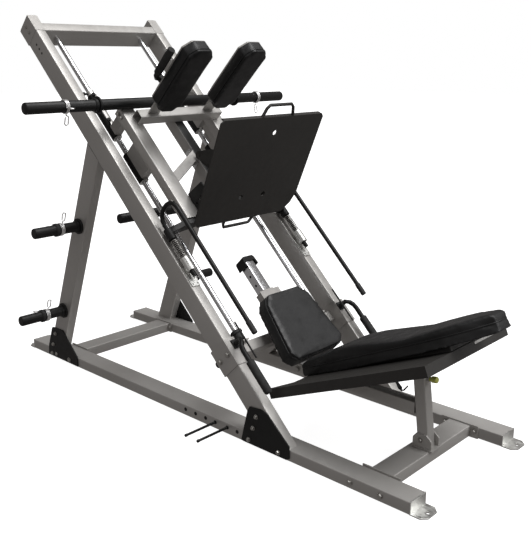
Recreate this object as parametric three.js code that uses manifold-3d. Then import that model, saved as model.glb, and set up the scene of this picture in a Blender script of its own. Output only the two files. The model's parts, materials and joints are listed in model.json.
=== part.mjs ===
// A combined 45 degree leg press and hack squat machine: a welded and bolted base, two sloping
// beams with chrome guide rods, a carriage with load bar, foot plate and shoulder pads, and a seat.
// Millimetres, +Z up, +Y towards the tall rear end, X across, symmetric about X = 0 except where said.
// Local depths ("y") count from the front ends of the base rails; the last lines centre the whole.
import * as THREE from 'three';
import { mergeVertices } from 'three/addons/utils/BufferGeometryUtils.js';
import Module from 'manifold-3d';

const wasm = await Module();
wasm.setup();

// ---------- driving dimensions ----------
const GAP = 0.3;                    // clearance between touching pieces
const WALL = 3;                     // wall of the square and flat steel tubes
const FRAME_HALF = 390;             // centre plane to the outer face of rails, beams and posts
const RAIL = { width: 100, height: 50, length: 2400 };
const BEAM = { width: 50, depth: 100 };
const BEAM_LOW = -452.9;            // lower face of the beams, measured across the slope
const BEAM_HIGH = BEAM_LOW + BEAM.depth;
const BEAM_TOP = 2800;              // top end of the beams, measured up the slope
const SLOPE = Math.PI / 4;          // beams, guide rods, carriage and seat tube
const POST_LEAN = 0.3925;           // rear posts: run forward for each mm of rise
const POST_FOOT_Y = 2178;           // middle of a rear post where it stands on the rail
const ROD = { x: 256, radius: 12.5, high: -406.6, from: 926, to: 2700 };
const PEG = { radius: 25, length: 246, heights: [285, 750] };

const LOWER_TUBE = { from: 871, size: 50, top: -407 };
const CLAMP = { from: 820, to: 940, wall: 4, play: 0.4 };
const TOP_TUBE = { from: 2700, size: 50 };

const SIDE = { inner: 212, outer: 288, from: 1482, to: 2120, top: -256, height: 50 };
const HOUSING = { radius: 24, bore: 13.2, upper: [2060, 2320], lower: [1800, 1960] };
const LOAD_BAR = { radius: 25, half: 780, along: 2114 };
const CROSS = { upper: 2006, lower: 1500, size: 50 };
const ARM = { half: 26, from: 1550, to: 2052, height: 60 };
const TILT = { along: 1785, high: -236, pin: 8 };     // pivot of the foot plate
const PLATE = { half: 318, height: 498, thick: 6, foot: [1168, 832], lean: 0.3835 };

const PAD = { x: 167, half: 74, front: 1968, back: 2027, low: -140, high: 240, corner: 40 };
const LEVER = { x: 364, shaft: -324.6, arm: -198.7, radius: 10, low: 874, top: 1497, foot: 1240 };
const SPINE = { low: 183, size: 50, front: 223, rear: 1110 };
const SEAT = { top: 142, foot: 176, low: 722, high: 1047, under: -346, face: -274, tube: 25, axis: -381.7 };
const SEAT_TUBE = { from: 735, to: 1257 };
const SLEEVE = { from: 1030, to: 1100, outer: 31, bore: 25.8 };
const HINGE = { y: 640, z: 246, pin: 8 };             // pivot of the back rest
const TRAY = { slope: 0.3934, top: 15.7, thick: 4, half: 295, skirt: 42, front: -670, rear: 27, tongue: 115 };
const BACK = { half: 146, head: -838, hip: 55 };
const COLUMN = { half: 25, lean: 0.13, footY: 174, crossPin: 345, inner: 21 };

// ---------- materials ----------
const steel = (color, roughness, metalness) =>
  () => new THREE.MeshStandardMaterial({ color, roughness, metalness });
const SILVER = steel(0xb9bab8, 0.45, 0.5);
const CHROME = steel(0xd9dcdf, 0.12, 1.0);
const ZINC = steel(0xdcdcd6, 0.4, 0.7);
const BLACK = steel(0x141414, 0.5, 0.2);
const CHARCOAL = steel(0x2a2825, 0.55, 0.4);
const VINYL = steel(0x161718, 0.5, 0.0);
const SIGNAL = steel(0xc9d24a, 0.5, 0.0);

// ---------- solids ----------
const machine = new THREE.Group();
const slope = new THREE.Group();    // local y runs up the slope, local z across it, away from the floor
slope.rotation.x = SLOPE;
machine.add(slope);

function toSolid(geometry) {
  const bare = geometry.clone();
  bare.deleteAttribute('normal');
  bare.deleteAttribute('uv');
  const merged = mergeVertices(bare, 1e-4);
  const mesh = new wasm.Mesh({
    numProp: 3,
    vertProperties: new Float32Array(merged.attributes.position.array),
    triVerts: new Uint32Array(merged.index.array),
  });
  mesh.merge();
  return new wasm.Manifold(mesh);
}

function toGeometry(solid) {
  const { vertProperties, triVerts } = solid.getMesh();
  const geometry = new THREE.BufferGeometry();
  geometry.setAttribute('position', new THREE.BufferAttribute(new Float32Array(vertProperties), 3));
  geometry.setIndex(new THREE.BufferAttribute(new Uint32Array(triVerts), 1));
  return geometry;
}

const weld = (...parts) => toGeometry(parts.map(toSolid).reduce((a, b) => a.add(b)));
const cut = (body, ...cutters) => toGeometry(cutters.map(toSolid).reduce((a, b) => a.subtract(b), toSolid(body)));

function add(parent, name, material, geometry) {
  const mesh = new THREE.Mesh(geometry, material());
  mesh.name = name;
  parent.add(mesh);
  return mesh;
}

// A box between two corners.
function block([x0, x1], [y0, y1], [z0, z1]) {
  const box = new THREE.BoxGeometry(Math.abs(x1 - x0), y1 - y0, z1 - z0);
  return box.translate((x0 + x1) / 2, (y0 + y1) / 2, (z0 + z1) / 2);
}

function roundedRect(width, height, radius, Kind = THREE.Shape) {
  const [w, h] = [width / 2 - radius, height / 2 - radius];
  const outline = new Kind();
  outline.absarc(w, h, radius, 0, Math.PI / 2);
  outline.absarc(-w, h, radius, Math.PI / 2, Math.PI);
  outline.absarc(-w, -h, radius, Math.PI, Math.PI * 1.5);
  outline.absarc(w, -h, radius, Math.PI * 1.5, Math.PI * 2);
  outline.closePath();
  return outline;
}

function extrude(shape, depth, curveSegments = 4) {
  return new THREE.ExtrudeGeometry(shape, { depth, bevelEnabled: false, curveSegments });
}

// A rectangular tube, open at both ends, made along local z from 0 to length.
function tubeAlongZ(width, height, length, wall = WALL) {
  const shape = roundedRect(width, height, wall * 1.6);
  shape.holes.push(roundedRect(width - 2 * wall, height - 2 * wall, wall * 0.6, THREE.Path));
  return extrude(shape, length, 2);
}

// Tubes along the three axes; the arguments are the middle of the section and the two ends.
function tubeAlongX(sizeY, sizeZ, [x0, x1], y, z) {
  return tubeAlongZ(sizeZ, sizeY, x1 - x0).rotateY(Math.PI / 2).translate(x0, y, z);
}
function solidAlongX(sizeY, sizeZ, [x0, x1], y, z) {
  return extrude(roundedRect(sizeZ, sizeY, WALL * 1.6), x1 - x0, 2).rotateY(Math.PI / 2).translate(x0, y, z);
}
function tubeAlongY(sizeX, sizeZ, x, [y0, y1], z) {
  return tubeAlongZ(sizeX, sizeZ, y1 - y0).rotateX(-Math.PI / 2).translate(x, y0, z);
}

// A round bar between two x, y or z values.
function barAlongX(radius, [x0, x1], y, z, sides = 24) {
  const bar = new THREE.CylinderGeometry(radius, radius, x1 - x0, sides);
  return bar.rotateZ(Math.PI / 2).translate((x0 + x1) / 2, y, z);
}
function barAlongY(radius, x, [y0, y1], z, sides = 24) {
  const bar = new THREE.CylinderGeometry(radius, radius, y1 - y0, sides);
  return bar.translate(x, (y0 + y1) / 2, z);
}
function barAlongZ(radius, x, y, [z0, z1], sides = 24) {
  const bar = new THREE.CylinderGeometry(radius, radius, z1 - z0, sides);
  return bar.rotateX(Math.PI / 2).translate(x, y, (z0 + z1) / 2);
}

// A flat profile drawn in (y, z) and given a thickness in x.
function plateYZ(points, [x0, x1]) {
  const shape = new THREE.Shape(points.map(([y, z]) => new THREE.Vector2(y, z)));
  return extrude(shape, x1 - x0).rotateX(Math.PI / 2).rotateZ(Math.PI / 2).translate(x0, 0, 0);
}

// A flat profile drawn in (x, z) and given a thickness in y.
function plateXZ(points, [y0, y1]) {
  const shape = new THREE.Shape(points.map(([x, z]) => new THREE.Vector2(x, z)));
  return extrude(shape, y1 - y0).rotateX(Math.PI / 2).translate(0, y1, 0);
}

// A round bar bent along a path: straight runs joined by arcs of the bend radius.
function bentBar(points, bend, radius, sides = 12) {
  const corners = points.map((p) => new THREE.Vector3(...p));
  const path = new THREE.CurvePath();
  let start = corners[0];
  for (let i = 1; i < corners.length - 1; i++) {
    const before = corners[i - 1].clone().sub(corners[i]).normalize();
    const after = corners[i + 1].clone().sub(corners[i]).normalize();
    const setback = bend / Math.tan(before.angleTo(after) / 2);
    const enter = corners[i].clone().addScaledVector(before, setback);
    const leave = corners[i].clone().addScaledVector(after, setback);
    if (start.distanceTo(enter) > 1) path.add(new THREE.LineCurve3(start, enter));
    path.add(new THREE.QuadraticBezierCurve3(enter, corners[i], leave));
    start = leave;
  }
  path.add(new THREE.LineCurve3(start, corners.at(-1)));
  const disc = new THREE.Shape().absarc(0, 0, radius, 0, Math.PI * 2);
  const steps = Math.max(12, Math.round(path.getLength() / 22));
  return new THREE.ExtrudeGeometry(disc, { extrudePath: path, steps, curveSegments: sides / 2 });
}

const SIDES = [['left', -1], ['right', 1]];
const across = (side, a, b) => [side * a, side * b].sort((p, q) => p - q);

// ---------- base ----------
function baseRails() {
  const middle = FRAME_HALF - RAIL.width / 2;
  for (const [name, side] of SIDES) {
    add(machine, `base_rail_${name}`, SILVER,
      tubeAlongY(RAIL.width, RAIL.height, side * middle, [0, RAIL.length], RAIL.height / 2));
    footPlate(`foot_front_${name}`, side * middle, -GAP, -1);
    footPlate(`foot_rear_${name}`, side * middle, RAIL.length + GAP, 1);
  }
}

// A bent plate that closes the rail end and gives a floor tab with one hole.
function footPlate(name, x, y, out) {
  const [thick, tab, half] = [5, 64, RAIL.width / 2];
  const span = (a, b) => [y + out * a, y + out * b].sort((p, q) => p - q);
  const upright = block([x - half, x + half], span(0, thick), [0, RAIL.height]);
  const clip = 22;
  const outline = [
    [-half, 0], [-half, tab - clip], [-half + clip, tab],
    [half - clip, tab], [half, tab - clip], [half, 0],
  ];
  const shape = new THREE.Shape(outline.map(([px, py]) => new THREE.Vector2(x + px, y + out * py)));
  const floor = extrude(shape, thick);
  const hole = barAlongZ(7, x, y + out * 45, [-5, thick + 5], 20);
  add(machine, name, ZINC, cut(weld(upright, floor), hole));
}

// A flat cross member with an end plate bolted against each rail.
function crossMember(name, [y0, y1], [plate0, plate1]) {
  const inner = FRAME_HALF - RAIL.width - GAP;
  const tube = solidAlongX(y1 - y0, RAIL.height, [-inner + 2, inner - 2], (y0 + y1) / 2, RAIL.height / 2);
  const ends = SIDES.map(([, side]) => block(across(side, inner - 6, inner), [plate0, plate1], [0, 56]));
  add(machine, name, SILVER, weld(tube, ...ends));
}

// ---------- beams and posts ----------
const beamMiddle = FRAME_HALF - BEAM.width / 2;

function beams() {
  for (const [name, side] of SIDES) {
    const long = tubeAlongY(BEAM.width, BEAM.depth, side * beamMiddle, [300, BEAM_TOP], (BEAM_LOW + BEAM_HIGH) / 2);
    const belowRail = block([-500, 500], [-400, 1400], [-600, RAIL.height + GAP]);
    long.rotateX(SLOPE);
    add(machine, `main_beam_${name}`, SILVER, cut(long, belowRail));
  }
}

// Where a rear post's middle line is at a height.
const postY = (z) => POST_FOOT_Y - POST_LEAN * (z - RAIL.height);

function rearPosts() {
  const lean = Math.atan(POST_LEAN);
  const beamUnderside = (y) => y + BEAM_LOW * Math.SQRT2 - GAP * 2;
  for (const [name, side] of SIDES) {
    const post = tubeAlongZ(BEAM.width, BEAM.depth, 1500).translate(0, 0, -100);
    post.rotateX(lean).translate(side * beamMiddle, POST_FOOT_Y, RAIL.height);
    const floorCut = block([-500, 500], [1500, 3000], [-200, RAIL.height + GAP]);
    const aboveBeam = plateYZ(
      [[1400, beamUnderside(1400)], [2200, beamUnderside(2200)], [2200, 2400], [1000, 2400], [1000, 700]], [-500, 500]);
    add(machine, `rear_post_${name}`, SILVER, cut(post, floorCut, aboveBeam));
  }
}

const FRONT_GUSSET = [
  [810, 8], [774, 150], [762, 170], [700, 176], [664, 168], [548, 66], [548, 14], [562, 5], [800, 5],
];
const REAR_GUSSET = [
  [2250, 8], [2244, 56], [2202, 166], [2190, 172], [2104, 172], [2094, 166], [1984, 58], [1984, 5],
];
function gussets() {
  for (const [name, side] of SIDES) {
    const skin = across(side, FRAME_HALF + GAP, FRAME_HALF + GAP + 6);
    add(machine, `gusset_front_${name}`, BLACK, plateYZ(FRONT_GUSSET, skin));
    add(machine, `gusset_rear_${name}`, BLACK, plateYZ(REAR_GUSSET, skin));
  }
}

function crossTubes() {
  const reach = FRAME_HALF - BEAM.width - GAP;
  const mid = TOP_TUBE.from + TOP_TUBE.size / 2;
  add(slope, 'top_cross_tube', SILVER,
    tubeAlongX(TOP_TUBE.size, BEAM.depth, [-reach, reach], mid, (BEAM_LOW + BEAM_HIGH) / 2));

  // The lower tube is welded between two clamps that wrap the beams, with a pad for each guide rod.
  const play = CLAMP.play;
  const centre = (BEAM_LOW + BEAM_HIGH) / 2;
  const pieces = [solidAlongX(LOWER_TUBE.size, LOWER_TUBE.size, [-reach + 4, reach - 4],
    LOWER_TUBE.from + LOWER_TUBE.size / 2, LOWER_TUBE.top - LOWER_TUBE.size / 2)];
  for (const [, side] of SIDES) {
    const outer = [BEAM.width / 2 + play + CLAMP.wall, BEAM.depth / 2 + play + CLAMP.wall];
    const x = side * beamMiddle;
    const shell = block([x - outer[0], x + outer[0]], [CLAMP.from, CLAMP.to], [centre - outer[1], centre + outer[1]]);
    const core = block([x - outer[0] + CLAMP.wall, x + outer[0] - CLAMP.wall], [CLAMP.from - 5, CLAMP.to + 5],
      [centre - outer[1] + CLAMP.wall, centre + outer[1] - CLAMP.wall]);
    pieces.push(cut(shell, core));
    const padEnd = ROD.from - GAP;
    const lower = LOWER_TUBE.from + LOWER_TUBE.size - 3;
    pieces.push(block([side * ROD.x - 26, side * ROD.x + 26], [lower, padEnd], [-445, -384]));
  }
  add(slope, 'lower_cross_clamp', SILVER, weld(...pieces));
}

function guideRods() {
  for (const [name, side] of SIDES) {
    add(slope, `guide_rod_${name}`, CHROME,
      barAlongY(ROD.radius, side * ROD.x, [ROD.from, ROD.to - GAP], ROD.high, 32));
  }
}

// ---------- storage ----------
function pegProfile(length) {
  const r = PEG.radius;
  return [[0, 0], [38, 0], [38, 10], [r, 10], [r, length - 6], [r - 6, length], [0, length]]
    .map(([x, y]) => new THREE.Vector2(x, y));
}

function storagePegs() {
  const peg = () => new THREE.LatheGeometry(pegProfile(PEG.length), 28);
  for (const [name, side] of SIDES) {
    PEG.heights.forEach((z, i) => {
      const level = ['lower', 'upper'][i];
      const geometry = peg().rotateZ(-side * Math.PI / 2).translate(side * (FRAME_HALF + GAP), postY(z), z);
      add(machine, `storage_peg_${level}_${name}`, BLACK, geometry);
    });
  }
  // One longer bar points inwards from the right post, level with the upper pegs.
  const inner = FRAME_HALF - BEAM.width - GAP;
  const bar = new THREE.LatheGeometry(pegProfile(inner + 152), 28);
  add(machine, 'inner_storage_bar', BLACK, bar.rotateZ(Math.PI / 2).translate(inner, postY(750), 750));
}

// ---------- handles beside the seat ----------
function seatHandles() {
  const [x, thin] = [380, 325];
  const [grip, link] = [-293.4, -307.6];
  for (const [name, side] of SIDES) {
    const [near, floor] = [x - 30, BEAM_HIGH + CLAMP.wall];
    const path = [[near, 905, floor + 1], [near, 905, grip], [x, 868, grip], [x, 655, grip]];
    const riser = bentBar(path.map(([px, py, pz]) => [side * px, py, pz]), 18, 11);
    const rod = barAlongY(4, side * thin, [807, 984], link, 12);
    const bridge = barAlongX(5, across(side, thin, near), 905, link, 12);
    const foot = block(across(side, near - 13, near + 15), [886, 926], [floor + 0.8, floor + 5.8]);
    add(slope, `seat_handle_${name}`, BLACK, weld(riser, rod, bridge, foot));
  }
}

// ---------- safety stops ----------
function safetyStops() {
  for (const [name, side] of SIDES) {
    const x = side * LEVER.x;
    const base = block([x - 22, x + 22], [1205, 1300], [BEAM_HIGH + GAP, BEAM_HIGH + 6]);
    const barrel = barAlongY(20, x, [1268, 1332], LEVER.shaft, 28);
    const web = block([x - 8, x + 8], [1262, 1300], [BEAM_HIGH + 5, LEVER.shaft - 10]);
    const bore = barAlongY(LEVER.radius + 0.8, x, [1200, 1400], LEVER.shaft, 28);
    const holes = [[-13, 1215], [13, 1215], [-13, 1245], [13, 1245]].map(
      ([dx, y]) => barAlongZ(4, x + dx, y, [BEAM_HIGH - 5, BEAM_HIGH + 12], 12));
    add(slope, `stop_bracket_${name}`, ZINC, cut(weld(base, barrel, web), bore, ...holes));

    const loop = bentBar([[x, LEVER.foot, LEVER.shaft], [x, LEVER.top + 63, LEVER.shaft],
      [x, LEVER.top + 63, LEVER.arm], [x, LEVER.low, LEVER.arm]], 62, LEVER.radius, 16);
    const collar = barAlongY(20, x, [1430, SIDE.from - GAP], LEVER.shaft, 24);
    const hook = plateXZ([[side * 364, -340], [side * 364, -309], [side * 290, -262], [side * 226, -262],
      [side * 226, -300], [side * 300, -318], [side * 345, -340]], [1457, SIDE.from - GAP]);
    add(slope, `stop_lever_${name}`, BLACK, weld(loop, collar, hook));
  }
}

// ---------- carriage ----------
function carriageFrame() {
  const middle = (SIDE.inner + SIDE.outer) / 2;
  const level = SIDE.top - SIDE.height / 2;
  for (const [name, side] of SIDES) {
    add(slope, `carriage_side_${name}`, SILVER,
      tubeAlongY(SIDE.outer - SIDE.inner, SIDE.height, side * middle, [SIDE.from, SIDE.to], level));
  }
  add(slope, 'carriage_cross_tube', SILVER, tubeAlongX(CROSS.size, CROSS.size, [-middle, middle],
    CROSS.upper + CROSS.size / 2, SIDE.top + GAP + CROSS.size / 2));

  const arm = tubeAlongY(2 * ARM.half, ARM.height, 0, [ARM.from, ARM.to], SIDE.top - ARM.height / 2);
  const reach = SIDE.inner - GAP;
  const low = tubeAlongX(CROSS.size, CROSS.size, [-reach, reach], CROSS.lower + CROSS.size / 2, level);
  const joint = block([-ARM.half + 2, ARM.half - 2], [CROSS.lower + CROSS.size - 2, ARM.from + 4], [SIDE.top - 45, SIDE.top - 5]);
  const lug = block([-20, 20], [TILT.along - 22, TILT.along + 22], [SIDE.top - 2, TILT.high]);
  const ear = barAlongX(22, [-20, 20], TILT.along, TILT.high, 32);
  const bore = barAlongX(TILT.pin + 0.7, [-40, 40], TILT.along, TILT.high, 24);
  const braces = SIDES.map(([, side]) => {
    const [inner, outer] = [ARM.half - 2, SIDE.inner - GAP];
    const shape = new THREE.Shape([[inner, 1838], [inner, 1788], [outer, 1679], [outer, 1729]]
      .map(([px, py]) => new THREE.Vector2(side * px, py)));
    return extrude(shape, 44).translate(0, 0, SIDE.top - 48);
  });
  add(slope, 'carriage_centre_frame', SILVER, cut(weld(arm, low, joint, lug, ear, ...braces), bore));

  // Perforated plates that lock the foot plate's tilt.
  const radius = 250;
  for (const [name, side] of SIDES) {
    const foot = SIDE.top + GAP;
    const outline = [[1490, foot], [1600, foot], [1585, -148], [1512, -148], [1490, -190]];
    const plate = plateYZ(outline, across(side, SIDE.inner - 7, SIDE.inner - GAP));
    const holes = [-15, -10, -5, 0].map((degrees) => {
      const angle = Math.PI + THREE.MathUtils.degToRad(degrees);
      return barAlongX(6, [-240, 240], TILT.along + radius * Math.cos(angle), TILT.high + radius * Math.sin(angle), 12);
    });
    add(slope, `tilt_plate_${name}`, BLACK, cut(plate, ...holes));
  }
}

function bearingHousings() {
  for (const [name, side] of SIDES) {
    for (const level of ['upper', 'lower']) {
      const [from, to] = HOUSING[level];
      const x = side * ROD.x;
      const barrel = barAlongY(HOUSING.radius, x, [from, to], ROD.high, 32);
      const foot = [from + 6, Math.min(to - 6, SIDE.to - 4)];
      const saddle = block([x - 20, x + 20], foot, [ROD.high + 15, SIDE.top - SIDE.height - GAP]);
      const bore = barAlongY(HOUSING.bore, x, [from - 5, to + 5], ROD.high, 32);
      add(slope, `bearing_housing_${level}_${name}`, BLACK, cut(weld(barrel, saddle), bore));
    }
  }
}

function loadBar() {
  const { radius, half, along } = LOAD_BAR;
  const profile = [[0, -half], [radius - 5, -half], [radius, -half + 5], [radius, half - 5], [radius - 5, half], [0, half]];
  const bar = new THREE.LatheGeometry(profile.map(([x, y]) => new THREE.Vector2(x, y)), 32);
  add(slope, 'load_bar', BLACK, bar.rotateZ(-Math.PI / 2).translate(0, along, SIDE.top + GAP + radius));
}

// ---------- shoulder pads ----------
function shoulderPads() {
  const { half, corner, low, high } = PAD;
  const crossTop = SIDE.top + 2 * GAP + CROSS.size;
  for (const [name, side] of SIDES) {
    const x = side * PAD.x;
    const octagon = (h, z0, z1, c) => [[-h, z0 + c], [-h, z1 - c], [-h + c, z1], [h - c, z1], [h, z1 - c], [h, z0 + c], [h - c, z0], [-h + c, z0]]
      .map(([px, pz]) => [x + px, pz]).reverse();
    add(slope, `shoulder_pad_${name}`, VINYL, plateXZ(octagon(half, low, high, corner), [PAD.front, PAD.back - GAP]));

    const back = [PAD.back, PAD.back + 8];
    const board = plateXZ(octagon(half - 4, low + 10, high - 8, 34), back);
    const upright = block([x - 32, x + 32], back, [crossTop, low + 60]);
    const rib = block([x - 6, x + 6], [PAD.back + 7, PAD.back + 26], [crossTop, 60]);
    add(slope, `shoulder_frame_${name}`, SILVER, weld(board, upright, rib));

    const outer = x + side * 95;
    const start = x + side * (half - 22);
    const handle = bentBar([[start, PAD.back + 23, -4], [outer, PAD.back + 23, -4], [outer, PAD.back + 23, 160]], 26, 12);
    const tab = block(across(side, Math.abs(start) - 4, Math.abs(start) + 20), [PAD.back + 8 + GAP, PAD.back + 20], [-16, 8]);
    add(slope, `shoulder_handle_${name}`, BLACK, weld(handle, tab));
  }
}

// ---------- foot plate ----------
// Its back carries two cheeks to the pivot, two ears to the perforated plates and two loop handles.
function footPlateAssembly() {
  const lean = Math.asin(PLATE.lean);
  const { half, height, thick } = PLATE;
  const outline = [[-290, 0], [244, 0], [290, 42], [311, 95], [half, height - 14], [half - 14, height], [14 - half, height],
    [-half, height - 14], [-311, 22]];
  const place = (geometry) => geometry.rotateX(lean).translate(0, PLATE.foot[0], PLATE.foot[1]);
  const sheet = place(plateXZ(outline, [0, thick]));
  const lip = place(block([-half + 16, half - 16], [0, 22], [height - thick, height]));
  const holes = [[22, 422], [-71, 118], [71, 118]].map(([x, z]) => place(barAlongY(12, x, [-20, 30], z, 24)));

  const [py, pz] = [(TILT.along - TILT.high) / Math.SQRT2, (TILT.along + TILT.high) / Math.SQRT2];
  const cheekLine = [[1048, 1128], [1345, 1132], [py + 8, pz + 20], [py + 20, pz + 6], [py + 18, pz - 10],
    [py - 6, pz - 20], [1133, 925]];
  const cheeks = SIDES.map(([, side]) => plateYZ(cheekLine, across(side, 32, 38)));
  const pin = barAlongX(TILT.pin, [-40, 40], py, pz, 20);
  const ears = SIDES.map(([, side]) => {
    const ear = plateYZ([[1418, -236], [1434, -196], [1540, -220], [1550, -234], [1540, -248], [1440, -240]],
      across(side, 196, SIDE.inner - 8));
    return ear.rotateX(SLOPE);
  });
  const loops = [
    bentBar([[-82, 7, height - 4], [-62, 7, height + 52], [92, 7, height + 52], [112, 7, height - 4]], 14, 7),
    bentBar([[-122, 8, 4], [-128, 8, -32], [44, 8, -32], [58, 8, 4]], 14, 7),
  ].map(place);
  add(machine, 'foot_plate', CHARCOAL, weld(cut(weld(sheet, lip), ...holes), ...cheeks, pin, ...ears, ...loops));
}

// ---------- seat ----------
function seatRail() {
  const bottom = SPINE.low + SPINE.size / 2;
  const tube = tubeAlongY(SPINE.size, SPINE.size, 0, [SPINE.front, SPINE.rear], bottom);
  const top = SPINE.low + SPINE.size;
  const strut = plateYZ([[938.4, 291.5], [973.8, 326.9], [1070, top - 2], [998, top - 2]], [-25, 25]);
  const block0 = plateYZ([[HINGE.y - 26, top - 1], [HINGE.y + 26, top - 1], [HINGE.y + 11, HINGE.z], [HINGE.y - 11, HINGE.z]], [-25, 25]);
  const ear = barAlongX(11, [-25, 25], HINGE.y, HINGE.z, 24);
  const bore = barAlongX(HINGE.pin + 0.6, [-40, 40], HINGE.y, HINGE.z, 24);
  add(machine, 'seat_spine', SILVER, cut(weld(tube, strut, block0, ear), bore));

  const axis = SEAT.axis;
  const long = tubeAlongZ(2 * SEAT.tube, 2 * SEAT.tube, SEAT_TUBE.to - 600, 2.5).rotateX(-Math.PI / 2).translate(0, 600, axis);
  const holes = [1040, 1090, 1140, 1190].map((y) => barAlongX(6, [-40, 40], y, axis, 12));
  // The foot of the tube is cut level, just above the spine.
  const level = block([-60, 60], [400, 1100], [0, top + GAP]).rotateX(-SLOPE);
  add(slope, 'seat_tube', CHROME, cut(long, level, ...holes));
  // A folded black cap closes the tube's upper end; its two flanks turn down over the sides.
  const capTop = SEAT_TUBE.to + 26;
  const cap = new THREE.Shape([[-40, SEAT_TUBE.to - 22], [-33, SEAT_TUBE.to - 22], [-28, SEAT_TUBE.to + GAP], [28, SEAT_TUBE.to + GAP],
    [33, SEAT_TUBE.to - 22], [40, SEAT_TUBE.to - 22], [36, capTop - 8], [28, capTop], [-28, capTop], [-36, capTop - 8]]
    .map(([x, y]) => new THREE.Vector2(x, y)));
  add(slope, 'seat_tube_cap', BLACK, extrude(cap, 62).translate(0, 0, axis - 31));
}

// A spring-loaded pull pin: a thin tip and a grip knob, drawn along +X and turned to point its way.
function pullPin(parent, name, [x, y, z], reach, turn) {
  const tip = 4;
  const profile = [[0, 0], [tip, 0], [tip, reach], [9, reach], [9, reach + 8], [13, reach + 10], [13, reach + 30], [9, reach + 34], [0, reach + 34]]
    .map(([px, py]) => new THREE.Vector2(px, py));
  const pin = new THREE.LatheGeometry(profile, 20).rotateZ(turn);
  add(parent, name, SIGNAL, pin.translate(x, y, z));
}

function seat() {
  const { outer, bore, from, to } = SLEEVE;
  const axis = SEAT.axis;
  const shell = block([-outer, outer], [from, to], [axis - outer, axis + outer]);
  const hollow = block([-bore, bore], [from - 5, to + 5], [axis - bore, axis + bore]);
  const plate = block([-60, 60], [SEAT.low + 30, to - 6], [axis + outer - 0.5, SEAT.under - GAP]);
  const pinY = to - 22;
  const pinHole = barAlongX(4.6, [0, 60], pinY, axis, 16);
  const boss = barAlongX(11, [outer - 1, outer + 12], pinY, axis, 20);
  add(slope, 'seat_slide', SILVER, cut(weld(shell, plate, boss), hollow, pinHole));
  pullPin(slope, 'seat_pull_pin', [bore + 0.4, pinY, axis], outer + 12.5 - bore, -Math.PI / 2);

  // Wider at its foot, with cut corners.
  const [top, foot, s0, s1] = [SEAT.top, SEAT.foot, SEAT.low, SEAT.high];
  const right = [[foot - 34, s0], [foot, s0 + 36], [top, s1 - 46], [top - 42, s1]];
  const left = right.map(([x, y]) => [-x, y]).reverse();
  const outline = new THREE.Shape([...right, ...left].map(([x, y]) => new THREE.Vector2(x, y)));
  add(slope, 'seat_pad', VINYL, extrude(outline, SEAT.face - SEAT.under).translate(0, 0, SEAT.under));
}

// ---------- back rest ----------
const rest = new THREE.Group();     // local y runs down the back rest towards the seat, z off its face
rest.position.set(0, HINGE.y, HINGE.z);
rest.rotation.x = -TRAY.slope;
machine.add(rest);

function slottedLug(span) {
  const [y, z, reach, slot] = [-445.3, -26.7, 26, 8];
  const plate = plateYZ([[y - 52, TRAY.top - 1], [y + 52, TRAY.top - 1], [y + 42, z - 16], [y - 42, z - 16]], span);
  const open = [y - reach, y + reach].map((end) => barAlongX(slot, [-50, 50], end, z, 20));
  return cut(plate, ...open, block([-50, 50], [y - reach, y + reach], [z - slot, z + slot]));
}

function backRest() {
  const { half, top, thick, skirt, front, rear, tongue } = TRAY;
  const plan = [[-half, front], [half, front], [half, tongue], [half - 15, tongue], [228, rear], [-228, rear], [15 - half, tongue], [-half, tongue]];
  const sheet = extrude(new THREE.Shape(plan.map(([x, y]) => new THREE.Vector2(x, y))), thick).translate(0, 0, top - thick);
  const skirts = SIDES.map(([, side]) => block(across(side, half - thick, half), [front, tongue], [top - skirt, top]));
  const nose = block([-half, half], [front, front + thick], [top - skirt, top]);
  const lugs = SIDES.flatMap(([, side]) => [
    plateYZ([[-22, top - 1], [22, top - 1], [10, -10], [-10, -10]], across(side, 27, 33)),
    slottedLug(across(side, 27, 33)),
  ]);
  const pin = barAlongX(HINGE.pin, [-34, 34], 0, 0, 20);
  // A thin wedge tips the pad a little more than the tray.
  const bottom = (y) => top + GAP + Math.max(0, (-180 - y) * 0.04);
  const wedge = plateYZ([[front + 12, top - 1], [-230, top - 1], [front + 12, bottom(front + 12) - GAP]], [-100, 100]);
  add(rest, 'back_tray', CHARCOAL, weld(sheet, ...skirts, nose, ...lugs, pin, wedge));

  // Side profile of the pad, thickest under the hips and the shoulders.
  const { head, hip } = BACK;
  const face = [[hip, 62], [hip - 12, 74], [-140, 105], [-235, 107], [-480, 96], [-700, 110], [head + 12, 114], [head, 108]];
  const profile = [...face, [head, 46], [head + 20, bottom(head + 20) + 1], [-180, bottom(-180)], [hip - 8, top + GAP], [hip, 24]];
  const side = plateYZ(profile, [-BACK.half, BACK.half]);
  const taper = SIDES.map(([, s]) => {
    const corner = new THREE.Shape([[46, head - 5], [200, head - 5], [200, -560], [BACK.half, -560], [BACK.half - 12, -650], [104, -740], [46, head]]
      .map(([x, y]) => new THREE.Vector2(s * x, y)));
    return extrude(corner, 200).translate(0, 0, -20);
  });
  add(rest, 'back_pad', VINYL, cut(side, ...taper));
}

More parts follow.
